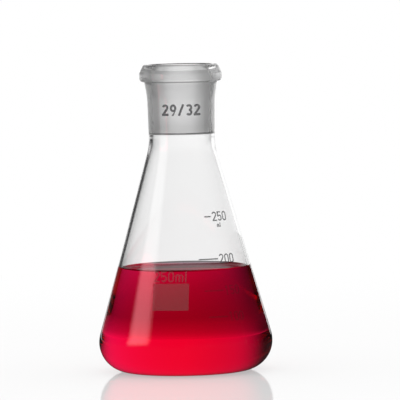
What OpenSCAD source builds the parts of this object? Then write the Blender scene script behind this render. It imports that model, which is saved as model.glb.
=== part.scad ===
// Conical laboratory flask with a ground-glass neck, partly filled with red liquid.
// Millimetres, Z up, standing on Z = 0 with its axis on Z. The prints face -Y.

/* [Body] */
// Height from the table to the top of the lip
flask_h = 145; // [130:1:175]
// Largest outside diameter of the body
body_d = 82; // [66:1:100]
// Outside radius of the heel, where the base turns up into the cone
heel_r = 14; // [8:0.5:20]
// Glass thickness of the cone
wall = 1.4; // [0.9:0.1:2.4]
// Glass thickness of the base
base_t = 2; // [1.2:0.1:4]
// How far the middle of the base is pushed up
punt_h = 0.8; // [0.3:0.1:1.6]
// Radius of the pushed-up middle of the base
punt_r = 19; // [12:0.5:22]
// Radius of the hollow outside curve between cone and neck
shoulder_r = 30; // [10:1:60]
// Clear length between the shoulder corner and the ground bore
neck_l = 6.6; // [5:0.2:14]
// Glass thickness of the short neck under the seal
neck_wall = 1.8; // [1.4:0.1:2.3]

/* [Ground neck] */
// Diameter of the ground bore at its wide upper end
joint_d = 29.2; // [24:0.1:34]
// Length of the ground bore
joint_l = 32; // [26:1:40]
// Length over which the bore narrows by one
joint_taper = 10; // [8:1:20]
// Distance of the fused seal below the ground bore
seal_drop = 2; // [1.2:0.1:3]
// Glass thickness round the narrow end of the bore
socket_wall = 2.6; // [2.4:0.1:3.4]
// Glass thickness under the bead
collar_wall = 2.9; // [2.7:0.1:4]
// How far the bead stands out from the collar
bead_out = 2.4; // [1.6:0.1:4]
// Height of the bead
bead_h = 3.8; // [3:0.1:6]
// Height of the sloping lip above the bead
lip_h = 4.2; // [3:0.1:5.5]
// Glass thickness at the top of the lip
lip_wall = 2.9; // [1.4:0.1:3.4]

/* [Liquid] */
// Filled volume in millilitres
fill_ml = 185; // [60:1:240]
// Height of the liquid's edge where it climbs the glass
meniscus_h = 1.4; // [0.6:0.1:2]
// Clearance between liquid and glass
liquid_gap = 0.1; // [0.05:0.01:0.3]

/* [Prints] */
// Thickness of the enamel
enamel_t = 0.08; // [0.04:0.01:0.2]
// Clearance between enamel and glass
enamel_gap = 0.02; // [0.01:0.01:0.05]
// Direction of the graduation, in degrees to the right of the front
scale_az = 33; // [10:1:60]
// Height of the graduation figures
scale_text_h = 4.4; // [3:0.1:6]
// Height of the 100 mark above the table
mark_100_z = 28; // [24:0.5:32]
// Height of the 150 mark above the table
mark_150_z = 40; // [36:0.5:45]
// Height of the 200 mark above the table
mark_200_z = 54.5; // [50:0.5:60]
// Height of the 250 mark above the table
mark_250_z = 74; // [66:0.5:82]
// Length of a graduation tick
tick_l = 9.5; // [4:0.5:12]
// Line width of ticks and graduation figures
scale_stroke = 0.6; // [0.3:0.05:0.7]
// Direction of the writing field, in degrees to the right of the front
spot_az = -11; // [-40:1:0]
// Height of the middle of the writing field above the table
spot_z = 37.6; // [32:0.2:44]
// Width of the writing field
spot_w = 17.1; // [10:0.1:20]
// Height of the writing field
spot_h = 12.3; // [8:0.1:16]
// Height of the capacity figures
capacity_text_h = 5; // [3.5:0.1:7]
// Line width of the capacity figures
capacity_stroke = 0.7; // [0.4:0.05:1]
// Height of the joint size figures
joint_text_h = 5.4; // [4:0.1:7]
// Line width of the joint size figures
joint_stroke = 1.05; // [0.5:0.05:1.3]

/* [Hidden] */
// Smoothness of full turns and the step of the round corners, in degrees
$fn = 96;
arc_step = 5;
glass_colour = [0.86, 0.92, 0.93, 0.45];
ground_colour = [0.8, 0.82, 0.83, 0.8];
liquid_colour = [0.8, 0.02, 0.12, 0.8];
enamel_colour = [0.5, 0.5, 0.5];

// Ground bore and the radii of the neck that follow from it
bore_top_r = joint_d / 2;
bore_low_r = bore_top_r - joint_l / joint_taper / 2;
bore_low_z = flask_h - joint_l;
neck_r = bore_low_r + socket_wall;
seal_z = bore_low_z - seal_drop;
neck_in_r = neck_r - neck_wall;

// Cone: the line through the shoulder corner that touches the heel circle
shoulder_z = bore_low_z - neck_l;
heel_x = body_d / 2 - heel_r;
heel_reach = norm([heel_x - neck_r, shoulder_z - heel_r]);
cone_a = atan2(heel_x - neck_r, shoulder_z - heel_r) + asin(heel_r / heel_reach);
cone_slope = tan(cone_a);
foot_r = neck_r + shoulder_z * cone_slope;

// Inside of the body
inner_heel_r = heel_r - wall;
inner_heel_z = base_t + inner_heel_r;
inner_foot_r = foot_r - wall / cos(cone_a);
inner_shoulder_z = (inner_foot_r - neck_in_r) / cone_slope;
inner_heel_x = inner_foot_r - inner_heel_r / cos(cone_a) - inner_heel_z * cone_slope;
// The curves of the shoulder end a little below the seal
seal_margin = 0.2;
shoulder_fit_r = min(shoulder_r, (seal_z - shoulder_z - seal_margin) / tan(cone_a / 2));
inner_shoulder_fit_r = min(shoulder_r, (seal_z - inner_shoulder_z - seal_margin) / tan(cone_a / 2));

// Bead, lip and collar
bead_low_z = flask_h - lip_h - bead_h;
bead_top_z = flask_h - lip_h;
collar_r = bore_at(bead_low_z) + collar_wall;
bead_r = collar_r + bead_out;
lip_r = bore_top_r + lip_wall;
bead_edge_r = 0.3 * bead_h;
collar_fillet = 0.7;
lip_round = 0.2 * lip_h;
bore_chamfer = 0.4;
// Height and radius at which the outside of the socket starts to widen to the collar
waist_z = bore_low_z + joint_l / 2;
waist_r = neck_r + (collar_r - neck_r) / 4;
waist_round = 30;

// Straight part of the cone, which carries the prints
cone_low_z = heel_r * (1 + sin(cone_a));
cone_top_z = shoulder_z - shoulder_fit_r * tan(cone_a / 2) * cos(cone_a);

// Prints
ml = 1000;
scale_marks = [[100, mark_100_z], [150, mark_150_z], [200, mark_200_z], [250, mark_250_z]];
top_mark = scale_marks[len(scale_marks) - 1].x;
tick_gap = 0.7;
top_tick_l = 0.35 * tick_l;
unit_text_h = 0.45 * scale_text_h;
unit_stroke = 0.6 * scale_stroke;
unit_drop = 1.4 * unit_text_h;
capacity_gap = 0.7;
joint_text_drop = 2.4;
joint_text_z = waist_z - joint_text_h - joint_text_drop;
spot_round = 0.4;
letter_w = 0.58;
letter_pitch = 0.69;
letter_step = 15;
ring_sweep = 360 - letter_step;

// Piece to draw

// Radius of the ground bore at a height
function bore_at(z) = bore_top_r - (flask_h - z) / joint_taper / 2;

// Outside radius of the cone at a height
function cone_at(z) = foot_r - z * cone_slope;

// Inside radius of the body at a height above the base and below the shoulder
function inside_at(z) =
    z < inner_heel_z + inner_heel_r * sin(cone_a)
    ? inner_heel_x + sqrt(inner_heel_r ^ 2 - (z - inner_heel_z) ^ 2)
    : inner_foot_r - z * cone_slope;

// Volume inside the body up to a height, in thin slices, less the pushed-up base
slices = 80;
function volume_to(z) =
    let (h = (z - base_t) / slices,
         areas = [for (i = [0 : slices - 1]) PI * inside_at(base_t + (i + 0.5) * h) ^ 2])
    h * (areas * [for (a = areas) 1]) - PI * punt_h * (3 * punt_r ^ 2 + punt_h ^ 2) / 6;

// Height at which the body holds a volume, by halving the range
function height_of(volume, low = base_t + punt_h, high = shoulder_z, tries = 24) =
    let (mid = (low + high) / 2)
    tries == 0 ? mid
    : volume_to(mid) < volume ? height_of(volume, mid, high, tries - 1)
    : height_of(volume, low, mid, tries - 1);

// Points of an arc
function arc(centre, r, from, sweep) =
    let (n = max(2, ceil(abs(sweep) / arc_step)))
    [for (i = [0 : n]) centre + r * [cos(from + sweep * i / n), sin(from + sweep * i / n)]];

function unit(v) = v / norm(v);

// Points of the arc that rounds corner b between a and c
function corner(a, b, c, r) =
    let (u = unit(a - b),
         v = unit(c - b),
         half = acos(u * v) / 2,
         centre = b + unit(u + v) * r / sin(half),
         start = b + u * r / tan(half) - centre,
         turn = sign(cross(-u, v)) * (180 - 2 * half))
    arc(centre, r, atan2(start.y, start.x), turn);

// Outline through corners given as [x, y, radius], where radius 0 stays sharp
function rounded(p) =
    let (n = len(p), q = [for (i = p) [i.x, i.y]])
    [for (i = [0 : n - 1])
        each p[i].z > 0 ? corner(q[(i + n - 1) % n], q[i], q[(i + 1) % n], p[i].z) : [q[i]]];

// Shallow dome of the pushed-up base from its middle to its edge, lifted by a height
function punt(lift) =
    let (r = (punt_r ^ 2 + punt_h ^ 2) / (2 * punt_h), half = asin(punt_r / r), n = 6)
    [for (i = [0 : n]) [r * sin(half * i / n), lift + punt_h - r * (1 - cos(half * i / n)), 0]];

function reversed(p) = [for (i = [len(p) - 1 : -1 : 0]) p[i]];

// Glass of the body, turned from one outline
module flask_body() {
    color(glass_colour)
        rotate_extrude()
            polygon(rounded(concat(
                punt(0),
                [[foot_r, 0, heel_r],
                 [neck_r, shoulder_z, shoulder_fit_r],
                 [neck_r, seal_z, 0],
                 [neck_in_r, seal_z, 0],
                 [neck_in_r, inner_shoulder_z, inner_shoulder_fit_r],
                 [inner_foot_r - base_t * cone_slope, base_t, inner_heel_r]],
                reversed(punt(base_t)))));
}

// Glass of the neck with its ground bore, bead and lip
module ground_socket() {
    color(ground_colour)
        rotate_extrude()
            polygon(rounded([
                [neck_r, seal_z, 0],
                [waist_r, waist_z, waist_round],
                [collar_r, bead_low_z, collar_fillet],
                [bead_r, bead_low_z, bead_edge_r],
                [bead_r, bead_top_z, bead_edge_r],
                [lip_r, flask_h, lip_round],
                [bore_top_r + bore_chamfer, flask_h, 0],
                [bore_at(flask_h - bore_chamfer), flask_h - bore_chamfer, 0],
                [bore_low_r, bore_low_z, 0],
                [neck_in_r, bore_low_z - (neck_in_r - bore_low_r), 0],
                [neck_in_r, seal_z, 0]]));
}

// Red filling with its edge drawn up the glass
module liquid() {
    level = height_of(fill_ml * ml);
    edge_z = level + meniscus_h;
    edge_r = inside_at(edge_z) - liquid_gap / cos(cone_a);
    gap_foot_r = inner_foot_r - liquid_gap / cos(cone_a);
    floor_z = base_t + liquid_gap;
    color(liquid_colour)
        rotate_extrude()
            polygon(rounded(concat(
                punt(floor_z),
                [[gap_foot_r - floor_z * cone_slope, floor_z, inner_heel_r - liquid_gap],
                 [edge_r, edge_z, 0],
                 [edge_r - liquid_gap, edge_z, 0],
                 [edge_r - meniscus_h / 2, level, meniscus_h],
                 [0, level, 0]])));
}

// Thin shell just outside the glass, which the prints are cut from
module enamel_shell(low_r, low_z, top_r, top_z) {
    near = enamel_gap;
    far = enamel_gap + enamel_t;
    rotate_extrude()
        polygon([
            [low_r + near, low_z],
            [low_r + far, low_z],
            [top_r + far, top_z],
            [top_r + near, top_z]]);
}

// Flat artwork pushed out from the axis in one direction
module facing(az, z) {
    rotate([0, 0, az])
        translate([0, 0, z])
            rotate([90, 0, 0])
                linear_extrude(height = body_d)
                    children();
}

// Artwork kept where it meets the cone
module on_cone(az, z) {
    color(enamel_colour)
        intersection() {
            enamel_shell(cone_at(cone_low_z), cone_low_z, cone_at(cone_top_z), cone_top_z);
            facing(az, z)
                children();
        }
}

// Artwork kept where it meets the plain lower part of the socket
module on_socket(az, z) {
    color(enamel_colour)
        intersection() {
            enamel_shell(neck_r, seal_z, waist_r, waist_z);
            facing(az, z)
                children();
        }
}

// Points of an oval arc
function bow(x, y, rx, ry, from, sweep) =
    let (n = max(3, ceil(abs(sweep) / letter_step)))
    [for (i = [0 : n]) [x + rx * cos(from + sweep * i / n), y + ry * sin(from + sweep * i / n)]];

// Line of even width through points
module stroke(p, w) {
    n = len(p) - 1;
    side = [for (i = [0 : n])
        let (d = unit(p[min(i + 1, n)] - p[max(i - 1, 0)])) [-d.y, d.x] * w / 2];
    polygon(concat(p + side, reversed(p - side)));
}

// Loop with a straight tail, also turned round for a six
module nine(x, y, w) {
    r = x / 2;
    difference() {
        polygon(concat(
            bow(r, y * 0.7, r + w / 2, y * 0.3 + w / 2, -15, 300),
            [[x * 0.1, -w / 2], [x * 0.1 + w, -w / 2]]));
        polygon(bow(r, y * 0.7, r - w / 2, y * 0.3 - w / 2, 0, ring_sweep));
    }
}

// Two loops with a waist between them
module eight(x, y, w) {
    r = x / 2;
    difference() {
        polygon(concat(
            bow(r, y * 0.76, r * 0.85 + w / 2, y * 0.24 + w / 2, -55, 290),
            bow(r, y * 0.26, r + w / 2, y * 0.26 + w / 2, 125, 290)));
        polygon(bow(r, y * 0.76, r * 0.85 - w / 2, y * 0.24 - w / 2, 0, ring_sweep));
        polygon(bow(r, y * 0.26, r - w / 2, y * 0.26 - w / 2, 0, ring_sweep));
    }
}

// Upright pill between two corners at the same distance from both axes
module pill(at, x, y) {
    r = x / 2;
    polygon(concat(
        bow(at + r, at + y - r, r, r, 0, 180),
        bow(at + r, at + r, r, r, 180, 180)));
}

// One figure or letter of height h and line width w, with its lower left corner at the origin
module letter(c, h, w) {
    x = letter_w * h - w;
    y = h - w;
    r = x / 2;
    translate([w / 2, w / 2]) {
        if (c == "0")
            difference() {
                pill(-w / 2, x + w, y + w);
                pill(w / 2, x - w, y - w);
            }
        if (c == "1") {
            stroke([[r, -w / 2], [r, y + w / 2]], w);
            stroke([[r * 0.2, y * 0.8], [r, y]], w);
        }
        if (c == "2") {
            stroke(concat(bow(r, y - r, r, r, 165, -205), [[0, 0]]), w);
            stroke([[-w / 2, 0], [x + w / 2, 0]], w);
        }
        if (c == "3") {
            stroke(bow(r, y * 0.75, r, y / 4, 150, -245), w);
            stroke(bow(r, y / 4, r, y / 4, 95, -245), w);
        }
        if (c == "4") {
            stroke([[x * 0.7, -w / 2], [x * 0.7, y + w / 2]], w);
            stroke([[0, y * 0.3], [x * 0.7, y]], w);
            stroke([[-w / 2, y * 0.3], [x + w / 2, y * 0.3]], w);
        }
        if (c == "5") {
            stroke([[-w / 2, y], [x, y]], w);
            stroke([[0, y], [0, y * 0.46]], w);
            stroke(bow(r, y * 0.3, r, y * 0.3, 150, -300), w);
        }
        if (c == "6")
            translate([x, y])
                rotate([0, 0, 180])
                    nine(x, y, w);
        if (c == "7") {
            stroke([[-w / 2, y], [x + w / 2, y]], w);
            stroke([[x * 0.3, -w / 2], [x, y]], w);
        }
        if (c == "8")
            eight(x, y, w);
        if (c == "9")
            nine(x, y, w);
        if (c == "/")
            stroke([[0, -w / 2], [x, y + w / 2]], w);
        if (c == "m") {
            arch = r * 0.7;
            stroke([[0, -w / 2], [0, y * 0.68]], w);
            for (i = [1, 3]) {
                top = bow(i * arch, y * 0.68 - arch, arch, arch, 180, -180);
                stroke(concat(top, [[(i + 1) * arch, -w / 2]]), w);
            }
        }
        if (c == "l")
            stroke([[r, -w / 2], [r, y + w / 2]], w);
    }
}

// Figures in a row, each in a cell of the same pitch
module row(chars, h, w) {
    for (i = [0 : len(chars) - 1])
        translate([i * letter_pitch * h, 0])
            letter(chars[i], h, w);
}

// Figures in a row, centred from side to side
module centred_row(chars, h, w) {
    width = ((len(chars) - 1) * letter_pitch + letter_w) * h;
    translate([-width / 2, 0])
        row(chars, h, w);
}

// Writing field on the front of the cone
module marking_spot() {
    on_cone(spot_az, spot_z)
        polygon(rounded([
            [-spot_w / 2, -spot_h / 2, spot_round],
            [spot_w / 2, -spot_h / 2, spot_round],
            [spot_w / 2, spot_h / 2, spot_round],
            [-spot_w / 2, spot_h / 2, spot_round]]));
}

// Capacity in figures above the writing field
module capacity_mark() {
    on_cone(spot_az, spot_z + spot_h / 2 + capacity_gap)
        centred_row(str(top_mark, "ml"), capacity_text_h, capacity_stroke);
}

// Size of the ground bore in figures on the socket
module joint_size_mark() {
    on_socket(0, joint_text_z)
        centred_row(str(floor(joint_d), "/", joint_l), joint_text_h, joint_stroke);
}

// Tick and figures of one mark, with the unit under the top one
module graduation(mark) {
    top = mark.x == top_mark;
    on_cone(scale_az, mark.y) {
        stroke([[-tick_gap - (top ? top_tick_l : tick_l), 0], [-tick_gap, 0]], scale_stroke);
        translate([0, -scale_text_h / 2]) {
            row(str(mark.x), scale_text_h, scale_stroke);
            if (top)
                translate([unit_text_h, -unit_drop])
                    row("ml", unit_text_h, unit_stroke);
        }
    }
}

flask_body();
ground_socket();
liquid();
marking_spot();
capacity_mark();
joint_size_mark();
for (mark = scale_marks) {
    graduation(mark);
}
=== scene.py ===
import math

import bmesh
import bpy
from bpy.props import FloatProperty, FloatVectorProperty, IntProperty, PointerProperty
from bpy.types import NodeSocket, Operator, Panel, PropertyGroup
from mathutils import Matrix, Vector


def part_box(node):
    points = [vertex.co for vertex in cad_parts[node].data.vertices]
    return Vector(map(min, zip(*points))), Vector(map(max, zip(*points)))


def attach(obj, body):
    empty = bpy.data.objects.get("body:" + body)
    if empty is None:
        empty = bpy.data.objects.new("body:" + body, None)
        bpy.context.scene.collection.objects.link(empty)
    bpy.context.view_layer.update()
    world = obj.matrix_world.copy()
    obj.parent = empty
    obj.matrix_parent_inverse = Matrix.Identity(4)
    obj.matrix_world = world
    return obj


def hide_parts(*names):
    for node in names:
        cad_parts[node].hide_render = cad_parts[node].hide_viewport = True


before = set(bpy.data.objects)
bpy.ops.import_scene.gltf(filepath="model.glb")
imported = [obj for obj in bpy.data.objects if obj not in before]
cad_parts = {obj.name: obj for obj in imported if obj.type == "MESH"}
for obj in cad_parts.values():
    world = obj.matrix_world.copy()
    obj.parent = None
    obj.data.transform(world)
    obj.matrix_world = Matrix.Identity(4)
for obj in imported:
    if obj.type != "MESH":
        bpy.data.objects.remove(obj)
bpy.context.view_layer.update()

bl_info = {
    "name": "Conical Flask",
    "version": (1, 0, 0),
    "blender": (4, 5, 0),
    "location": "View3D > Sidebar > Flask",
    "description": "Dresses the conical flask with glass, red liquid and enamel prints",
    "category": "Add Mesh",
}

FLASK_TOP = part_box("ground_socket")[1].z
BODY_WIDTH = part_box("flask_body")[1].x * 2
SEAL_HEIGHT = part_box("flask_body")[1].z
LIQUID_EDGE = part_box("liquid")[1].z
MM = 0.001
WHITE = (1.0, 1.0, 1.0, 1.0)
# Finishes of a turned piece's faces, and the inputs that take their materials, in the same order
CLEAR, GROUND, WETTED = 0, 1, 2
FINISH_INPUTS = ("Clear finish", "Ground finish", "Wetted finish")
# Spacing of the nodes in the editor
NODE_COLUMN, NODE_ROW = 240, 220
GLASS_IOR = 1.473
LIQUID_IOR = 1.335


def length(name, description, default_mm):
    """A length property whose default is given in millimetres."""
    return FloatProperty(name=name, description=description, default=default_mm * MM,
                         min=0.0, precision=5, subtype="DISTANCE", unit="LENGTH")


def turn(name, description, default_degrees):
    """An angle property whose default is given in degrees."""
    return FloatProperty(name=name, description=description, default=math.radians(default_degrees),
                         subtype="ANGLE", unit="ROTATION")


def share(name, description, default):
    """A property between 0 and 1."""
    return FloatProperty(name=name, description=description, default=default,
                         min=0.0, max=1.0, subtype="FACTOR")


def amount(name, description, default):
    """A property that may be any number from 0 up."""
    return FloatProperty(name=name, description=description, default=default, min=0.0)


def tint(name, description, default):
    """A colour property."""
    return FloatVectorProperty(name=name, description=description, default=default,
                               size=3, min=0.0, max=1.0, subtype="COLOR")


class FlaskGlassSizes(PropertyGroup):
    """Sizes of the glass, the same as those of the CAD solids."""
    heel_radius: length("Heel", "Outside radius where the base turns up", 14.0)
    wall: length("Wall", "Glass thickness of the cone", 1.4)
    base: length("Base", "Glass thickness of the base", 2.0)
    punt_height: length("Push-up", "How far the middle of the base is pushed up", 0.8)
    punt_radius: length("Push-up radius", "Radius of the pushed-up middle", 19.0)
    shoulder_radius: length("Shoulder", "Radius of the curve between cone and neck", 30.0)
    neck_length: length("Neck", "Length between shoulder corner and ground bore", 6.6)
    neck_wall: length("Neck wall", "Glass thickness of the neck under the seal", 1.8)
    bore_diameter: length("Bore", "Upper diameter of the ground bore", 29.2)
    bore_length: length("Bore length", "Length of the ground bore", 32.0)
    socket_wall: length("Socket wall", "Glass thickness round the narrow end of the bore", 2.6)
    collar_wall: length("Collar wall", "Glass thickness under the bead", 2.9)
    bead_out: length("Bead", "How far the bead stands out of the collar", 2.4)
    bead_height: length("Bead height", "Height of the bead", 3.8)
    lip_height: length("Lip height", "Height of the sloping lip above the bead", 4.2)
    lip_wall: length("Lip wall", "Glass thickness at the top of the lip", 2.9)
    mouth: length("Polished mouth", "Height of the clear rim above the ground bore", 2.4)
    bore_taper: FloatProperty(name="Taper", description="Length over which the bore narrows by one",
                              default=10.0, min=5.0)
    segments: IntProperty(name="Segments", description="Steps round the axis", default=256, min=48)


class FlaskLiquidLook(PropertyGroup):
    """Shape of the surface and colour of the liquid."""
    meniscus_height: length("Meniscus", "How far the liquid climbs the glass", 1.4)
    meniscus_reach: length("Meniscus reach", "Distance over which the climb fades", 1.5)
    overlap: length("Overlap", "How far the liquid reaches into the glass, so no air shows", 0.06)
    colour: tint("Colour", "What a thick layer of the liquid lets through", (0.989, 0.0, 0.5))
    density: amount("Density", "Absorption of the liquid for one metre", 95.0)


class FlaskPrintLook(PropertyGroup):
    """Colours of the enamel."""
    grey: tint("Grey enamel", "Colour of the writing field and the capacity", (0.075, 0.066, 0.066))
    dark: tint("Dark enamel", "Colour of the scale and the joint size", (0.045, 0.045, 0.05))
    thin_cover: share("Thin print", "How much one face of a thin print hides", 0.18)
    full_cover: share("Full print", "How much one face of a full print hides", 0.6)
    worn: tint("Worn enamel", "Colour of the lower marks", (0.015, 0.015, 0.018))
    worn_cover: share("Worn print", "How much one face of the worn lower marks hides", 0.14)


class FlaskStageLook(PropertyGroup):
    """Camera, floor and light."""
    distance: length("Camera distance", "Distance of the camera", 2000.0)
    elevation: turn("Elevation", "Height angle of the camera", 3.4)
    lean: turn("Lean", "How far the picture leans to the left", 1.15)
    frame_width: length("Frame", "Width of the picture at the flask", 189.0)
    aim_right: length("Aim right", "How far the picture's middle is right of the axis", 8.03)
    aim_up: length("Aim height", "Height of the picture's middle", 80.6)
    floor: tint("Floor", "Colour of the floor", (0.95, 0.95, 0.95))
    floor_radius: length("Floor radius", "Radius of the floor", 700.0)
    fade_turn: turn("Fade", "Turn to the left over which the light behind fades", 40.0)
    fade_level: share("Fade level", "Light left after the fade", 0.47)
    rise_level: amount("Rise level", "Light of the floor at the same turn to the right", 2.55)
    dark_start: turn("Dark start", "Turn to the left where the dark side begins", 18.0)
    dark_end: turn("Dark end", "Turn to the left where the dark side is darkest", 48.0)
    pale_end: turn("Pale end", "Turn to the right where the light behind ends", 80.0)
    pale_start: turn("Pale start", "Turn to the right where the light behind begins to fall", 35.0)
    table_level: share("Table level", "Light from the far table, under the horizon", 0.8)
    edge_level: amount("Edge level", "Light from the table that a wall's edge shows", 1.5)
    inner_level: share("Inner level", "Share of the light that mirrors inside the flask show", 0.25)
    dark_level: share("Dark level", "Light from the dark sides", 0.05)
    front_level: share("Front level", "Light from the room in front", 0.03)
    ceiling_level: share("Ceiling level", "Light from straight above", 0.2)
    panel_level: amount("Panel", "Light of the soft panel", 2.42)
    bounces: IntProperty(name="Bounces", description="How often light may bounce inside the glass",
                         default=32, min=4)


def feed(tree, target, source):
    """Links an input to an output, or sets its value."""
    if isinstance(source, NodeSocket):
        tree.links.new(source, target)
    else:
        target.default_value = source


def node(tree, kind, inputs=None, **options):
    """A new node with its options set and its inputs fed, by name or number."""
    made = tree.nodes.new(kind)
    for name, value in options.items():
        setattr(made, name, value)
    for name, source in (inputs or {}).items():
        feed(tree, made.inputs[name], source)
    return made


def calc(tree, operation, *values):
    """The result of a maths node."""
    return node(tree, "ShaderNodeMath", dict(enumerate(values)), operation=operation).outputs[0]


def vector_calc(tree, operation, *values, output="Vector"):
    """A result of a vector maths node."""
    made = node(tree, "ShaderNodeVectorMath", dict(enumerate(values)), operation=operation)
    return made.outputs[output]


def times(tree, a, b):
    """The product of two numbers."""
    return calc(tree, "MULTIPLY", a, b)


def largest(tree, a, b):
    """The larger of two numbers."""
    return calc(tree, "MAXIMUM", a, b)


def even_step(tree, value, span, at_low, at_high, kind="LINEAR"):
    """A step from one number to another while the value crosses a span."""
    low, high = span
    return node(tree, "ShaderNodeMapRange", {
        "Value": value, "From Min": low, "From Max": high, "To Min": at_low, "To Max": at_high,
    }, interpolation_type=kind).outputs[0]


def soft_step(tree, value, span, at_low, at_high):
    """A step that starts and ends smoothly."""
    return even_step(tree, value, span, at_low, at_high, "SMOOTHSTEP")


def choose(tree, switch, off, on):
    """One of two numbers, by a switch of 0 or 1."""
    return node(tree, "ShaderNodeMix", {0: switch, 2: off, 3: on}, data_type="FLOAT").outputs[0]


def split(tree, vector):
    """The X, Y and Z of a vector."""
    return node(tree, "ShaderNodeSeparateXYZ", {0: vector}).outputs


def tones(tree, share_of_second, first, second):
    """A mix of two colours."""
    return node(tree, "ShaderNodeMix", data_type="RGBA", inputs={
        0: share_of_second, 6: first, 7: second}).outputs[2]


def slant(tree):
    """How slantwise a ray meets the face, from 0 straight on to 1 along it."""
    return node(tree, "ShaderNodeLayerWeight").outputs["Facing"]


def lay_out(tree):
    """Sets the nodes in columns, each to the left of what it feeds."""
    depth = {}

    def visit(item, level):
        if depth.get(item.name, -1) < level:
            depth[item.name] = level
            for socket in item.inputs:
                for link in socket.links:
                    visit(link.from_node, level + 1)

    for item in tree.nodes:
        if not any(socket.is_linked for socket in item.outputs):
            visit(item, 0)
    rows = {}
    for name, level in depth.items():
        rows[level] = rows.get(level, 0) + 1
        tree.nodes[name].location = (-NODE_COLUMN * level, -NODE_ROW * rows[level])


def new_material(name):
    """A material with empty nodes."""
    material = bpy.data.materials.new(name)
    material.use_nodes = True
    material.node_tree.nodes.clear()
    return material, material.node_tree


def finish(tree, **sockets):
    """Adds the material's output."""
    node(tree, "ShaderNodeOutputMaterial", sockets)
    lay_out(tree)


# Outlines in radius and height

# Steps along an outline, and the share of a step under which two points are one
ARC_STEP = math.radians(3.0)
LONGEST_STEP = 3.0 * MM
SAME_POINT = 1e-4
FEWEST_ARC_STEPS = 3
DOME_STEPS = 12
CLIMB_STEP = 0.25 * MM
CLIMB_STEPS = 32
SURFACE_STEPS = 12
# Round edges of the neck: shares of the height of bead and lip, then radii
BEAD_ROUND = 0.4
LIP_ROUND = 0.35
WAIST_ROUND = 30.0 * MM
COLLAR_ROUND = 1.2 * MM
MOUTH_ROUND = 0.3 * MM
BORE_TOP_ROUND = 0.15 * MM
BORE_LOW_ROUND = 0.25 * MM
STEP_ROUND = 0.4 * MM
# Small forms of the neck
WAIST_SHARE = 0.25
BEAD_SLOPE_LOW = 0.4 * MM
BEAD_SLOPE_HIGH = 0.3 * MM
MOUTH_CHAMFER = 0.4 * MM
SEAL_ROOM = 0.2 * MM
# Points of a turned piece nearer than this are joined
MERGE_DISTANCE = 0.002 * MM


def unit(v):
    """A vector's direction."""
    return v / v.length


def rounded(corners):
    """Points through corners (x, z, radius): arcs in the corners, short steps on the straights."""
    flat = [Vector((x, z)) for x, z, _ in corners]
    points = []
    for i, (_, _, radius) in enumerate(corners):
        here = flat[i]
        if radius <= 0.0 or i in (0, len(corners) - 1):
            points.append(here)
            continue
        u, v = unit(flat[i - 1] - here), unit(flat[i + 1] - here)
        half = math.acos(max(-1.0, min(1.0, u.dot(v)))) / 2
        centre = here + unit(u + v) * (radius / math.sin(half))
        start = here + u * (radius / math.tan(half)) - centre
        bend = math.pi - 2 * half
        if u.x * v.y - u.y * v.x > 0:
            bend = -bend
        n = max(FEWEST_ARC_STEPS, math.ceil(abs(bend) / ARC_STEP))
        for k in range(n + 1):
            a = math.atan2(start.y, start.x) + bend * k / n
            points.append(centre + Vector((math.cos(a), math.sin(a))) * radius)
    fine = [points[0]]
    for p in points[1:]:
        start = fine[-1]
        n = math.ceil((p - start).length / LONGEST_STEP - SAME_POINT)
        fine.extend(start.lerp(p, k / n) for k in range(1, n + 1))
    return fine


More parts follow.
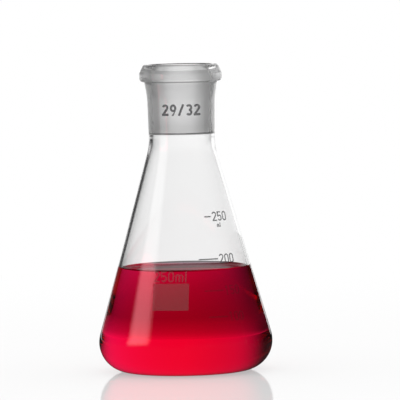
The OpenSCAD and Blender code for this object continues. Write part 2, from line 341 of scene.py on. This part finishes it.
class Shape:
    """Radii and heights that follow from the glass sizes, as in the CAD model."""

    def __init__(self, g):
        self.g = g
        self.top = FLASK_TOP
        self.bore_top_r = g.bore_diameter / 2
        self.bore_low_r = self.bore_top_r - g.bore_length / g.bore_taper / 2
        self.bore_low_z = self.top - g.bore_length
        self.neck_r = self.bore_low_r + g.socket_wall
        self.neck_in_r = self.neck_r - g.neck_wall
        self.step_low_z = self.bore_low_z - (self.neck_in_r - self.bore_low_r)
        self.shoulder_z = self.bore_low_z - g.neck_length
        heel_x = BODY_WIDTH / 2 - g.heel_radius
        run = Vector((heel_x - self.neck_r, self.shoulder_z - g.heel_radius))
        self.cone_a = math.atan2(run.x, run.y) + math.asin(g.heel_radius / run.length)
        self.slope = math.tan(self.cone_a)
        self.foot_r = self.neck_r + self.shoulder_z * self.slope
        self.inner_heel_r = g.heel_radius - g.wall
        self.inner_foot_r = self.foot_r - g.wall / math.cos(self.cone_a)
        self.inner_shoulder_z = (self.inner_foot_r - self.neck_in_r) / self.slope

    def bore_at(self, z):
        """The radius of the ground bore at a height."""
        return self.bore_top_r - (self.top - z) / self.g.bore_taper / 2

    def inside_at(self, z):
        """The inside radius of the cone at a height."""
        return self.inner_foot_r - z * self.slope

    def shoulder_fit(self, corner_z):
        """The shoulder's radius, or the largest that ends under the seal."""
        room = SEAL_HEIGHT - SEAL_ROOM - corner_z
        return min(self.g.shoulder_radius, room / math.tan(self.cone_a / 2))

    def punt(self, lift):
        """The shallow dome of the base, from the middle outwards."""
        g = self.g
        r = (g.punt_radius ** 2 + g.punt_height ** 2) / (2 * g.punt_height)
        half = math.asin(g.punt_radius / r)
        turns = [half * i / DOME_STEPS for i in range(DOME_STEPS + 1)]
        return [(r * math.sin(a), lift + g.punt_height - r * (1 - math.cos(a)), 0.0) for a in turns]

    def outside(self):
        """Corners of the outside, from the base's middle up to the lip."""
        g = self.g
        bead_top = self.top - g.lip_height
        bead_low = bead_top - g.bead_height
        bead_round = BEAD_ROUND * g.bead_height
        collar_r = self.bore_at(bead_low) + g.collar_wall
        bead_r = collar_r + g.bead_out
        lip_r = self.bore_top_r + g.lip_wall
        waist_r = self.neck_r + (collar_r - self.neck_r) * WAIST_SHARE
        return self.punt(0.0) + [
            (self.foot_r, 0.0, g.heel_radius),
            (self.neck_r, self.shoulder_z, self.shoulder_fit(self.shoulder_z)),
            (self.neck_r, SEAL_HEIGHT, 0.0),
            (waist_r, self.bore_low_z + g.bore_length / 2, WAIST_ROUND),
            (collar_r, bead_low - BEAD_SLOPE_LOW, COLLAR_ROUND),
            (bead_r, bead_low + BEAD_SLOPE_HIGH, bead_round),
            (bead_r, bead_top, bead_round),
            (lip_r, self.top, LIP_ROUND * g.lip_height)]

    def inside(self):
        """Corners of the inside, from the mouth down to the base's middle."""
        g = self.g
        bore_z = self.top - MOUTH_CHAMFER
        return [
            (self.bore_top_r + MOUTH_CHAMFER, self.top, MOUTH_ROUND),
            (self.bore_at(bore_z), bore_z, BORE_TOP_ROUND),
            (self.bore_low_r, self.bore_low_z, BORE_LOW_ROUND),
            (self.neck_in_r, self.step_low_z, STEP_ROUND),
            (self.neck_in_r, self.inner_shoulder_z, self.shoulder_fit(self.inner_shoulder_z)),
            (self.inside_at(LIQUID_EDGE), LIQUID_EDGE, 0.0),
            (self.inside_at(g.base), g.base, self.inner_heel_r)] + self.punt(g.base)[::-1]

    def glass(self):
        """The whole outline of the glass, and the finish of each of its steps."""
        points = rounded(self.outside() + self.inside())
        middles = [(a.y + b.y) / 2 for a, b in zip(points, points[1:])]
        mouth = middles.index(max(middles))
        return points, [CLEAR] * mouth + [self.inner_finish(z) for z in middles[mouth:]]

    def inner_finish(self, z):
        """The finish of the inside at a height."""
        if z < LIQUID_EDGE:
            return WETTED
        if self.step_low_z < z < self.top - self.g.mouth:
            return GROUND
        return CLEAR

    def liquid(self, look):
        """The outline of the liquid, up the wall and over its surface, with finishes."""
        over = look.overlap
        level = LIQUID_EDGE - look.meniscus_height
        edge_r = self.inside_at(LIQUID_EDGE)
        wall = over / math.cos(self.cone_a)
        floor_z = self.g.base - over
        side = rounded(
            self.punt(floor_z)
            + [(self.inside_at(floor_z) + wall, floor_z, self.inner_heel_r + over),
               (edge_r + wall, LIQUID_EDGE, 0.0)])
        climb = [i * CLIMB_STEP for i in range(CLIMB_STEPS + 1)]
        rises = [look.meniscus_height * math.exp(-x / look.meniscus_reach) for x in climb]
        surface = [Vector((edge_r - x, level + rise)) for x, rise in zip(climb, rises)]
        surface += [Vector((surface[-1].x * (1 - i / SURFACE_STEPS), level))
                    for i in range(1, SURFACE_STEPS + 1)]
        return side + surface, [WETTED] * len(side) + [CLEAR] * (len(surface) - 1)


def turned_tree():
    """Geometry nodes that turn an outline in the XZ plane round Z and give each step its finish."""
    tree = bpy.data.node_groups.new("Turned piece", "GeometryNodeTree")
    wanted = {"Outline": "Geometry", "Segments": "Int", **dict.fromkeys(FINISH_INPUTS, "Material")}
    for name, kind in wanted.items():
        tree.interface.new_socket(name=name, in_out="INPUT", socket_type="NodeSocket" + kind)
    tree.interface.new_socket(name="Piece", in_out="OUTPUT", socket_type="NodeSocketGeometry")
    given = node(tree, "NodeGroupInput").outputs
    outline = given["Outline"]
    points = node(tree, "GeometryNodeAttributeDomainSize", {0: outline}).outputs["Point Count"]
    steps = calc(tree, "SUBTRACT", points, 1.0)
    grid = node(tree, "GeometryNodeMeshGrid", {
        "Vertices X": calc(tree, "ADD", given["Segments"], 1.0),
        "Vertices Y": points}).outputs["Mesh"]
    index = node(tree, "GeometryNodeInputIndex").outputs[0]

    column = calc(tree, "FLOOR", calc(tree, "DIVIDE", index, points))
    angle = times(tree, calc(tree, "DIVIDE", column, given["Segments"]), 2 * math.pi)
    place = node(tree, "GeometryNodeSampleIndex", data_type="FLOAT_VECTOR", domain="POINT", inputs={
        "Geometry": outline, "Value": node(tree, "GeometryNodeInputPosition").outputs[0],
        "Index": calc(tree, "MODULO", index, points)}).outputs[0]
    spun = node(tree, "ShaderNodeVectorRotate", {"Vector": place, "Angle": angle},
                rotation_type="Z_AXIS").outputs[0]
    shape = node(tree, "GeometryNodeSetPosition", {"Geometry": grid, "Position": spun}).outputs[0]

    mark = node(tree, "GeometryNodeInputNamedAttribute", {"Name": "finish"},
                data_type="INT").outputs[0]
    step_mark = node(tree, "GeometryNodeSampleIndex", data_type="INT", domain="EDGE", inputs={
        "Geometry": outline, "Value": mark,
        "Index": calc(tree, "MODULO", index, steps)}).outputs[0]
    shape = node(tree, "GeometryNodeStoreNamedAttribute", data_type="INT", domain="FACE", inputs={
        "Geometry": shape, "Name": "finish", "Value": step_mark}).outputs[0]
    shape = node(tree, "GeometryNodeMergeByDistance", {
        "Geometry": shape, "Distance": MERGE_DISTANCE}).outputs[0]
    shape = node(tree, "GeometryNodeSetShadeSmooth", {"Geometry": shape}).outputs[0]
    shape = node(tree, "GeometryNodeRealizeInstances", {"Geometry": shape}).outputs[0]
    for code, name in enumerate(FINISH_INPUTS):
        here = node(tree, "FunctionNodeCompare", {2: mark, 3: code},
                    data_type="INT", operation="EQUAL").outputs[0]
        shape = node(tree, "GeometryNodeSetMaterial", {
            "Geometry": shape, "Selection": here, "Material": given[name]}).outputs[0]
    node(tree, "NodeGroupOutput", {0: shape})
    lay_out(tree)
    return tree


def turned_piece(name, outline, finishes, segments, *materials):
    """A closed mesh turned from an outline by the tree above, with a material for each finish."""
    mesh = bpy.data.meshes.new(name + " outline")
    steps = [(i, i + 1) for i in range(len(outline) - 1)]
    mesh.from_pydata([(p.x, 0.0, p.y) for p in outline], steps, [])
    mesh.attributes.new("finish", "INT", "EDGE").data.foreach_set("value", finishes)
    source = bpy.data.objects.new(name + " outline", mesh)
    bpy.context.scene.collection.objects.link(source)
    tree = bpy.data.node_groups.get("Turned piece") or turned_tree()
    modifier = source.modifiers.new("Turned", "NODES")
    modifier.node_group = tree
    wanted = {"Segments": segments, **dict(zip(FINISH_INPUTS, materials))}
    for item in tree.interface.items_tree:
        if item.in_out == "INPUT" and item.name in wanted:
            modifier[item.identifier] = wanted[item.name]
    bpy.context.view_layer.update()
    graph = bpy.context.evaluated_depsgraph_get()
    made = bpy.data.meshes.new_from_object(source.evaluated_get(graph))
    bpy.data.objects.remove(source)
    bm = bmesh.new()
    bm.from_mesh(made)
    bmesh.ops.recalc_face_normals(bm, faces=bm.faces)
    open_edges = sum(1 for e in bm.edges if len(e.link_faces) != 2)
    bm.to_mesh(made)
    bm.free()
    if open_edges:
        raise RuntimeError(f"{name} has {open_edges} open edges")
    made.name = name
    piece = bpy.data.objects.new(name, made)
    bpy.context.scene.collection.objects.link(piece)
    return piece


# Finishes

# Waves or grain of a surface: how close, how strong and how deep
BLOWN_WAVES = (45.0, 0.06, 0.6 * MM)
LIQUID_WAVES = (60.0, 0.02, 0.3 * MM)
ENAMEL_GRAIN = (900.0, 0.2, 0.02 * MM)
GROUND_GRAIN = (5000.0, 0.25, 0.03 * MM)
# The ground bore: the grinder's rings, and painted shade that darkens it by slant and at its low end
RING_SCALE = (40.0, 40.0, 2600.0)
GROUND_ROUGHNESS = (0.5, 0.65)
GROUND_SLANT = (0.02, 0.2)
SLANT_SHADE_LEVELS = (0.9, 0.52)
LOW_END = 8.0 * MM
LOW_END_SHADE_LEVEL = 0.72
# Enamel: its darkest and palest tone, as shares of its colour
ENAMEL_TONES = (0.8, 1.2)
ENAMEL_ROUGHNESS = 0.45
SATIN_GLOSS, NO_GLOSS = 0.5, 0.0


def object_place(tree):
    """The place of a point in the piece's own frame."""
    return node(tree, "ShaderNodeTexCoord").outputs["Object"]


def noise(tree, place, scale, detail=2.0):
    """A fine noise between 0 and 1."""
    return node(tree, "ShaderNodeTexNoise", {
        "Vector": place, "Scale": scale, "Detail": detail}).outputs[0]


def bump(tree, height, strength, distance):
    """A normal that follows small heights."""
    return node(tree, "ShaderNodeBump", {
        "Height": height, "Strength": strength, "Distance": distance}).outputs[0]


def clear_surface(tree, ior, waves):
    """A smooth colourless surface with faint waves, through which light is bent."""
    scale, strength, depth = waves
    swell = noise(tree, object_place(tree), scale, detail=1.0)
    return node(tree, "ShaderNodeBsdfPrincipled", {
        "Base Color": WHITE, "Roughness": 0.0, "IOR": ior, "Transmission Weight": 1.0,
        "Normal": bump(tree, swell, strength, depth)}).outputs[0]


def clear_glass(name, ior):
    """Colourless glass with the faint waves of blown work."""
    material, tree = new_material(name)
    finish(tree, Surface=clear_surface(tree, ior, BLOWN_WAVES))
    return material


def ground_glass(low):
    """Matt ground bore: fine grain, with the turning marks of the grinder and painted shade on its
    sides and low end.
    """
    material, tree = new_material("ground_glass")
    place = object_place(tree)
    scale, strength, depth = GROUND_GRAIN
    stretched = node(tree, "ShaderNodeMapping", {"Vector": place, "Scale": RING_SCALE}).outputs[0]
    rings = noise(tree, stretched, 1.0)
    relief = calc(tree, "ADD", rings, noise(tree, place, scale))
    height = split(tree, place)["Z"]
    # Painted shade: the base colour darkens where rays meet the bore slantwise and near its low end
    painted_shade = times(tree, soft_step(tree, slant(tree), GROUND_SLANT, *SLANT_SHADE_LEVELS),
                    soft_step(tree, height, (low, low + LOW_END), LOW_END_SHADE_LEVEL, 1.0))
    glass = node(tree, "ShaderNodeBsdfPrincipled", distribution="MULTI_GGX", inputs={
        "Base Color": painted_shade, "Roughness": even_step(tree, rings, (0.0, 1.0), *GROUND_ROUGHNESS),
        "IOR": GLASS_IOR, "Transmission Weight": 1.0, "Normal": bump(tree, relief, strength, depth)})
    finish(tree, Surface=glass.outputs[0])
    return material


def red_liquid(look):
    """Clear crimson liquid, darker with depth. Only its free surface bends light."""
    material, tree = new_material("red_liquid")
    code = node(tree, "ShaderNodeAttribute", attribute_name="finish").outputs["Fac"]
    ior = even_step(tree, code, (CLEAR, WETTED), LIQUID_IOR, 1.0)
    depth = node(tree, "ShaderNodeVolumeAbsorption", {
        "Color": (*look.colour, 1.0), "Density": look.density})
    finish(tree, Surface=clear_surface(tree, ior, LIQUID_WAVES), Volume=depth.outputs[0])
    return material


def enamel(name, colour, cover, gloss=SATIN_GLOSS):
    """Thin fired enamel, a little uneven in tone."""
    material, tree = new_material(name)
    scale, strength, depth = ENAMEL_GRAIN
    cloud = noise(tree, object_place(tree), scale, detail=3.0)
    darkest, palest = ((*(min(1.0, c * tone) for c in colour), 1.0) for tone in ENAMEL_TONES)
    layer = node(tree, "ShaderNodeBsdfPrincipled", {
        "Base Color": tones(tree, cloud, darkest, palest), "Roughness": ENAMEL_ROUGHNESS,
        "Alpha": cover, "Specular IOR Level": gloss, "Normal": bump(tree, cloud, strength, depth)})
    finish(tree, Surface=layer.outputs[0])
    return material


class FLASK_OT_glass(Operator):
    """Turn the fused glass of body and ground neck"""
    bl_idname = "flask.glass"
    bl_label = "Glass"

    def execute(self, context):
        sizes = context.scene.flask_glass
        shape = Shape(sizes)
        outline, finishes = shape.glass()
        piece = turned_piece(
            "flask_glass", outline, finishes, sizes.segments, clear_glass("clear_glass", GLASS_IOR),
            ground_glass(shape.bore_low_z), clear_glass("wetted_glass", GLASS_IOR / LIQUID_IOR))
        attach(piece, "flask")
        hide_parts("flask_body", "ground_socket")
        return {"FINISHED"}


class FLASK_OT_liquid(Operator):
    """Turn the red filling with its raised edge"""
    bl_idname = "flask.liquid"
    bl_label = "Liquid"

    def execute(self, context):
        look = context.scene.flask_liquid
        sizes = context.scene.flask_glass
        outline, finishes = Shape(sizes).liquid(look)
        red = red_liquid(look)
        piece = turned_piece("red_filling", outline, finishes, sizes.segments, red, red, red)
        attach(piece, "filling")
        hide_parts("liquid")
        return {"FINISHED"}


class FLASK_OT_prints(Operator):
    """Give the scale, the writing field and the joint size their enamel"""
    bl_idname = "flask.prints"
    bl_label = "Prints"

    def execute(self, context):
        look = context.scene.flask_prints
        thin = enamel("grey_enamel", look.grey, look.thin_cover)
        full = enamel("dark_enamel", look.dark, look.full_cover)
        worn = enamel("worn_enamel", look.worn, look.worn_cover, NO_GLOSS)
        prints = {"marking_spot": thin, "capacity_mark": thin, "joint_size_mark": full,
                  "graduation_100": worn, "graduation_150": worn,
                  "graduation_200": full, "graduation_250": full}
        for name, material in prints.items():
            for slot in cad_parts[name].material_slots:
                slot.material = material
        return {"FINISHED"}


# Stage


def degrees(low, high):
    """A span of turns that is given in degrees."""
    return math.radians(low), math.radians(high)


# Steps through glass on a ray's way: two for a wall, four for both walls, more with the liquid
ONE_WALL, BOTH_WALLS = 2.0, 4.0
HALF_STEP = 0.5
# Spans of turns to the left of straight behind
FRONT_TURN = degrees(80.0, 120.0)
SHADE_TURN = degrees(60.0, 100.0)
STRIP_TURN = degrees(5.0, 13.0)
RIM_TURN = degrees(2.0, 14.0)
BORE_TURN = degrees(-48.0, -8.0)
WINDOW_BACK_TURN = degrees(-75.0, -60.0)
WINDOW_FRONT_TURN = degrees(-115.0, -100.0)
# Spans of the height of a direction, from -1 straight down to 1 straight up
CEILING_HEIGHT = (0.2, 0.8)
WINDOW_HEIGHT = (0.15, 0.2)
ROOM_HEIGHT = (0.08, 0.25)
STRIP_HEIGHT = (0.07, 0.14)
RIM_HEIGHT = (-0.012, 0.012)
TABLE_HEIGHT = (-0.04, -0.01)
GAP_HEIGHT = (-0.022, -0.002)
EDGE_HEIGHT = (-0.07, -0.045)
# Span of the depth of a direction, from -1 at the front to 1 at the back
FRONT_DEPTH = (-0.1, 0.3)
# Spans of the distance from the axis on the floor, in metres
STEEP_REACH = (0.06, 0.13)
FLAT_REACH = (0.08, 0.25)
SKY_REACH = (0.15, 0.5)
WHITE_REACH = (0.2, 0.6)
# Spans of the slant at which a ray meets floor or panel
STEEP_SLANT = (0.35, 0.6)
DOWN_SLANT = (0.2, 0.35)
ROSY_SLANT = (0.02, 0.045)
# Levels of light, of which 1 is white
SKY_RIGHT_LEVEL = 1.1
ROOM_TOP_LEVEL = 0.2
RIM_LEVEL = 0.12
GAP_LEVEL = 0.6
BORE_LEVEL = 0.15
SHADE_LEVEL = 0.25
FLAT_LEVELS = (0.2, 0.53)
STEEP_LEVELS = (0.5, 1.0)
STEEP_EDGE_LEVEL = 0.1
WHITE_SHARES = (0.42, 1.0)
FLAG_LEVEL = 0.01
# The floor
FLOOR_SIDES = 64
FLOOR_DROP = 0.1 * MM
FLOOR_ROUGHNESS = 0.06
FLOOR_IOR = 1.45
SHINE_IOR = 1.5
# The soft panel: its middle, half its width and half its height
PANEL_CENTRE = Vector((-0.3807, -0.1772, 0.22))
PANEL_ACROSS = Vector((-0.0554, 0.147, 0.0))
PANEL_UP = Vector((-0.015, 0.03, 0.22))
# Its soft borders and its rosy part, in those halves from the middle
PANEL_FRONT = (-1.0, -0.35)
PANEL_BACK = (0.42, 1.0)
PANEL_FOOT = (-1.0, -0.5)
PANEL_TOP = (0.5, 1.0)
ROSY_HEIGHT = (-0.035, -0.005)
ROSY = (2.9, 1.0, 1.15, 1.0)
# The dark card, whose top slopes up to the front
FLAG_CORNERS = ((0.14, 0.26, 0.0), (0.30, -0.03, 0.0), (0.30, -0.03, 0.15), (0.14, 0.26, 0.075))
CAMERA_REACH = 20.0


class Rays:
    """Switches of 0 or 1 for rays, by the glass and the mirrors on their way."""

    def __init__(self, tree):
        self.tree = tree
        self.path = node(tree, "ShaderNodeLightPath").outputs

    def steps(self, test, *limits):
        """A test of the steps through glass."""
        return calc(self.tree, test, self.path["Transmission Depth"], *limits)

    def mirrors(self, test):
        """A test for any mirror on the way."""
        return calc(self.tree, test, self.path["Glossy Depth"], HALF_STEP)

    def both(self, first, second):
        """Rays for which two switches hold."""
        return times(self.tree, first, second)

    def camera(self):
        """Rays straight from the camera."""
        return self.path["Is Camera Ray"]

    def mirrored(self):
        """Rays that smooth glass mirrored last."""
        return self.both(self.path["Is Reflection Ray"], self.path["Is Singular Ray"])

    def passed(self):
        """Rays through any glass."""
        return self.steps("GREATER_THAN", HALF_STEP)

    def one_wall(self):
        """Rays through one wall at most."""
        return self.steps("LESS_THAN", ONE_WALL + HALF_STEP)

    def both_walls(self):
        """Rays through both walls and no liquid."""
        return self.steps("COMPARE", BOTH_WALLS, HALF_STEP)

    def clear_way(self):
        """Rays through both walls or more that met no mirror."""
        beyond = self.steps("GREATER_THAN", BOTH_WALLS - HALF_STEP)
        return self.both(self.mirrors("LESS_THAN"), beyond)

    def edge(self):
        """Rays that a mirror within one wall turned aside."""
        return self.both(self.mirrors("GREATER_THAN"), self.one_wall())

    def inner(self):
        """Rays through both walls that met a mirror."""
        return self.both(self.mirrors("GREATER_THAN"), self.both_walls())

    def deep(self):
        """Rays through the liquid that met a mirror."""
        beyond = self.steps("GREATER_THAN", BOTH_WALLS + HALF_STEP)
        return self.both(self.mirrors("GREATER_THAN"), beyond)


def back_fade(tree, axes, look, right_level):
    """The turn to the left of straight behind, and its light, which falls from right to left."""
    left = calc(tree, "ARCTAN2", times(tree, axes["X"], -1.0), axes["Y"])
    fade = even_step(tree, left, (0.0, look.fade_turn), 1.0, look.fade_level)
    rise = even_step(tree, left, (-look.fade_turn, 0.0), right_level, 1.0)
    return left, even_front(tree, left, times(tree, fade, rise))


def even_front(tree, left, light):
    """Light that turns to 1 in front, where the turns to the left and to the right meet."""
    return soft_step(tree, calc(tree, "ABSOLUTE", left), FRONT_TURN, light, 1.0)


def bore_fade(tree, rays, left):
    """A factor by which rays through both walls lose light to the right."""
    lost = soft_step(tree, left, BORE_TURN, BORE_LEVEL, 1.0)
    return choose(tree, rays.both_walls(), 1.0, even_front(tree, left, lost))


def glow(tree, strength, colour=WHITE):
    """A shader that gives off light."""
    return node(tree, "ShaderNodeEmission", {"Color": colour, "Strength": strength}).outputs[0]


def blend(tree, share_of_second, first, second):
    """A mix of two shaders."""
    return node(tree, "ShaderNodeMixShader", {
        0: share_of_second, 1: first, 2: second}).outputs[0]


def stage_mesh(name, points, material):
    """One flat face that belongs to the stage."""
    mesh = bpy.data.meshes.new(name)
    mesh.from_pydata(points, [], [tuple(range(len(points)))])
    mesh.materials.append(material)
    obj = bpy.data.objects.new(name, mesh)
    bpy.context.scene.collection.objects.link(obj)
    return obj


def mirror_card(material, tree, light, corners):
    """A card that shows its light to smooth mirrors and is clear for all else."""
    clear = node(tree, "ShaderNodeBsdfTransparent").outputs[0]
    finish(tree, Surface=blend(tree, Rays(tree).mirrored(), clear, light))
    card = stage_mesh(material.name, corners, material)
    card.visible_camera = False
    card.visible_diffuse = False
    card.visible_transmission = False


class FLASK_OT_stage(Operator):
    """Set up floor, studio light and camera"""
    bl_idname = "flask.stage"
    bl_label = "Stage"

    def execute(self, context):
        scene = context.scene
        look = scene.flask_stage
        scene.view_settings.view_transform = "Standard"
        scene.cycles.max_bounces = look.bounces
        scene.cycles.glossy_bounces = look.bounces
        scene.cycles.transmission_bounces = look.bounces
        self.light(scene, look)
        self.floor(look)
        self.panel(look)
        self.flag()
        self.camera(scene, look)
        return {"FINISHED"}

    def light(self, scene, look):
        """A room, white for the camera. Glass sees its dark sides, and mirrors its dim front."""
        scene.world = bpy.data.worlds.new("Studio")
        scene.world.use_nodes = True
        tree = scene.world.node_tree
        tree.nodes.clear()
        rays = Rays(tree)
        axes = split(tree, node(tree, "ShaderNodeTexCoord").outputs["Generated"])
        left, fade = back_fade(tree, axes, look, SKY_RIGHT_LEVEL)
        above = soft_step(tree, axes["Z"], CEILING_HEIGHT, 1.0, look.ceiling_level)
        dark = soft_step(tree, left, (look.dark_start, look.dark_end), above, look.dark_level)
        shade = times(tree, fade, dark)
        table = soft_step(tree, axes["Z"], TABLE_HEIGHT, look.table_level, 0.0)
        strength = choose(tree, rays.passed(), 1.0,
                          self.through_glass(tree, look, rays, axes["Z"], left, shade, table))
        strength = choose(tree, rays.mirrored(), strength,
                          self.mirrored_room(tree, look, axes, left, shade, table))
        strength = choose(tree, rays.camera(), strength, 1.0)
        light = node(tree, "ShaderNodeBackground", {"Color": WHITE, "Strength": strength})
        node(tree, "ShaderNodeOutputWorld", {"Surface": light.outputs[0]})
        lay_out(tree)

    def through_glass(self, tree, look, rays, height, left, shade, table):
        """The light behind, as it comes through glass by each way."""
        pale = soft_step(tree, left, (-look.pale_end, -look.pale_start), look.dark_level, 1.0)
        behind = largest(tree, times(tree, shade, pale), table)
        behind = times(tree, behind, choose(tree, rays.inner(), 1.0, look.inner_level))
        behind = times(tree, behind, bore_fade(tree, rays, left))
        # The edge of a wall shows a bright strip with a gap and the table under it
        strip = soft_step(tree, left, STRIP_TURN, 1.0, look.dark_level)
        strip = soft_step(tree, height, STRIP_HEIGHT, times(tree, strip, pale), behind)
        strip = soft_step(tree, height, GAP_HEIGHT, GAP_LEVEL, strip)
        strip = soft_step(tree, height, EDGE_HEIGHT, look.edge_level, strip)
        behind = choose(tree, rays.edge(), behind, strip)
        behind = choose(tree, rays.clear_way(), behind, even_front(tree, left, behind))
        # Mirrors in the liquid show a window on the right
        window = times(tree, soft_step(tree, left, WINDOW_FRONT_TURN, 0.0, 1.0),
                       soft_step(tree, left, WINDOW_BACK_TURN, 1.0, 0.0))
        window = times(tree, window, soft_step(tree, height, WINDOW_HEIGHT, 0.0, 1.0))
        return choose(tree, rays.deep(), behind, largest(tree, behind, window))

    def mirrored_room(self, tree, look, axes, left, shade, table):
        """The room that smooth glass mirrors: dim in front, above and at the rim's left."""
        room = times(tree, shade, soft_step(tree, axes["Y"], FRONT_DEPTH, look.front_level, 1.0))
        room = times(tree, room, soft_step(tree, axes["Z"], ROOM_HEIGHT, 1.0, ROOM_TOP_LEVEL))
        rim = soft_step(tree, left, RIM_TURN, 1.0, RIM_LEVEL)
        room = times(tree, room, soft_step(tree, axes["Z"], RIM_HEIGHT, 1.0, rim))
        return largest(tree, room, table)

    def floor(self, look):
        """A pale glossy floor that fades to white. Glass sees it with a painted shadow, darker near
        the flask.
        """
        material, tree = new_material("pale_floor")
        rays = Rays(tree)
        place = object_place(tree)
        axes = split(tree, place)
        away = vector_calc(tree, "LENGTH", place, output="Value")
        passed = rays.passed()
        strength = choose(tree, passed, look.floor[0],
                          self.floor_through_glass(tree, look, rays, axes, away))
        plain = glow(tree, choose(tree, rays.mirrored(), strength, look.front_level))
        # Through glass it shines where it is seen flat, and far off it turns to sky
        shine = node(tree, "ShaderNodeBsdfAnisotropic", {"Roughness": FLOOR_ROUGHNESS}).outputs[0]
        flatness = node(tree, "ShaderNodeFresnel", {"IOR": SHINE_IOR}).outputs[0]
        shining = blend(tree, flatness, plain, shine)
        left, fade = back_fade(tree, axes, look, SKY_RIGHT_LEVEL)
        sky = glow(tree, times(tree, fade, bore_fade(tree, rays, left)))
        shining = blend(tree, even_step(tree, away, SKY_REACH, 0.0, 1.0), shining, sky)
        unseen = blend(tree, passed, plain, shining)
        # The camera sees gloss that fades to white
        gloss = node(tree, "ShaderNodeBsdfPrincipled", {
            "Base Color": (*look.floor, 1.0), "Roughness": FLOOR_ROUGHNESS, "IOR": FLOOR_IOR})
        white_share = soft_step(tree, away, WHITE_REACH, *WHITE_SHARES)
        seen = blend(tree, white_share, gloss.outputs[0], glow(tree, 1.0))
        finish(tree, Surface=blend(tree, rays.camera(), unseen, seen))
        r = look.floor_radius
        turns = [2 * math.pi * i / FLOOR_SIDES for i in range(FLOOR_SIDES)]
        rim = [(r * math.cos(a), r * math.sin(a), -FLOOR_DROP) for a in turns]
        stage_mesh("floor", rim, material)

    def floor_through_glass(self, tree, look, rays, axes, away):
        """The floor's light through glass, with a painted shadow: darker near the flask, and where
        rays meet it flat.
        """
        facing = slant(tree)
        steep = times(tree, soft_step(tree, facing, STEEP_SLANT, 1.0, 0.0), rays.one_wall())
        down = times(tree, soft_step(tree, facing, DOWN_SLANT, 1.0, 0.0), rays.clear_way())
        # Painted shadow of the flask: the glow that glass sees is dimmer near its foot
        flat_level = soft_step(tree, away, FLAT_REACH, *FLAT_LEVELS)
        steep_level = soft_step(tree, away, STEEP_REACH, *STEEP_LEVELS)
        steep_level = choose(tree, rays.edge(), steep_level, STEEP_EDGE_LEVEL)
        near = choose(tree, largest(tree, steep, down), flat_level, steep_level)
        left, fade = back_fade(tree, axes, look, look.rise_level)
        shaded = soft_step(tree, calc(tree, "ABSOLUTE", left), SHADE_TURN, 1.0, SHADE_LEVEL)
        fade = times(tree, fade, choose(tree, rays.deep(), 1.0, shaded))
        return times(tree, near, fade)

    def panel(self, look):
        """A tall soft panel on the left, rosy in the part that the liquid mirrors."""
        material, tree = new_material("soft_panel")
        place = vector_calc(tree, "SUBTRACT", object_place(tree), PANEL_CENTRE)
        side, height = (
            vector_calc(tree, "DOT_PRODUCT", place, half / half.length_squared, output="Value")
            for half in (PANEL_ACROSS, PANEL_UP))
        strength = look.panel_level
        for value, start, end in ((side, PANEL_FRONT, PANEL_BACK), (height, PANEL_FOOT, PANEL_TOP)):
            strength = times(tree, soft_step(tree, value, start, 0.0, 1.0), strength)
            strength = times(tree, soft_step(tree, value, end, 1.0, 0.0), strength)
        rosy = times(tree, soft_step(tree, height, ROSY_HEIGHT, 1.0, 0.0),
                     soft_step(tree, slant(tree), ROSY_SLANT, 0.0, 1.0))
        corners = [PANEL_CENTRE + a * PANEL_ACROSS + b * PANEL_UP
                   for a, b in ((-1, -1), (1, -1), (1, 1), (-1, 1))]
        mirror_card(material, tree, glow(tree, strength, tones(tree, rosy, WHITE, ROSY)), corners)

    def flag(self):
        """A dark card to the right behind that the liquid's side mirrors."""
        material, tree = new_material("dark_flag")
        mirror_card(material, tree, glow(tree, FLAG_LEVEL), FLAG_CORNERS)

    def camera(self, scene, look):
        """The camera in front, a little raised and leaning."""
        data = bpy.data.cameras.new("Camera")
        data.lens = data.sensor_width * look.distance / look.frame_width
        data.clip_end = CAMERA_REACH
        cam = bpy.data.objects.new("Camera", data)
        scene.collection.objects.link(cam)
        aim = Vector((look.aim_right, 0.0, look.aim_up))
        away = Vector((0.0, -math.cos(look.elevation), math.sin(look.elevation)))
        facing = away.to_track_quat("Z", "Y").to_matrix().to_4x4()
        rolled = facing @ Matrix.Rotation(-look.lean, 4, "Z")
        cam.matrix_world = Matrix.Translation(aim + away * look.distance) @ rolled
        scene.camera = cam


class FLASK_PT_sidebar(Panel):
    """Sizes, colours and steps of the flask"""
    bl_label = "Flask"
    bl_space_type = "VIEW_3D"
    bl_region_type = "UI"
    bl_category = "Flask"

    def draw(self, context):
        layout = self.layout
        for step in STEPS:
            layout.operator(step.bl_idname)
        for group in GROUPS:
            box = layout.box()
            values = getattr(context.scene, group)
            for name in values.__annotations__:
                box.prop(values, name)


GROUPS = {"flask_glass": FlaskGlassSizes, "flask_liquid": FlaskLiquidLook,
          "flask_prints": FlaskPrintLook, "flask_stage": FlaskStageLook}
STEPS = (FLASK_OT_stage, FLASK_OT_glass, FLASK_OT_liquid, FLASK_OT_prints)


def register():
    for name, group in GROUPS.items():
        bpy.utils.register_class(group)
        setattr(bpy.types.Scene, name, PointerProperty(type=group))
    for step in STEPS:
        bpy.utils.register_class(step)
    bpy.utils.register_class(FLASK_PT_sidebar)


def unregister():
    bpy.utils.unregister_class(FLASK_PT_sidebar)
    for step in reversed(STEPS):
        bpy.utils.unregister_class(step)
    for name, group in reversed(GROUPS.items()):
        delattr(bpy.types.Scene, name)
        bpy.utils.unregister_class(group)


def main():
    register()
    bpy.ops.flask.stage()
    bpy.ops.flask.glass()
    bpy.ops.flask.liquid()
    bpy.ops.flask.prints()


if __name__ == "__main__":
    main()
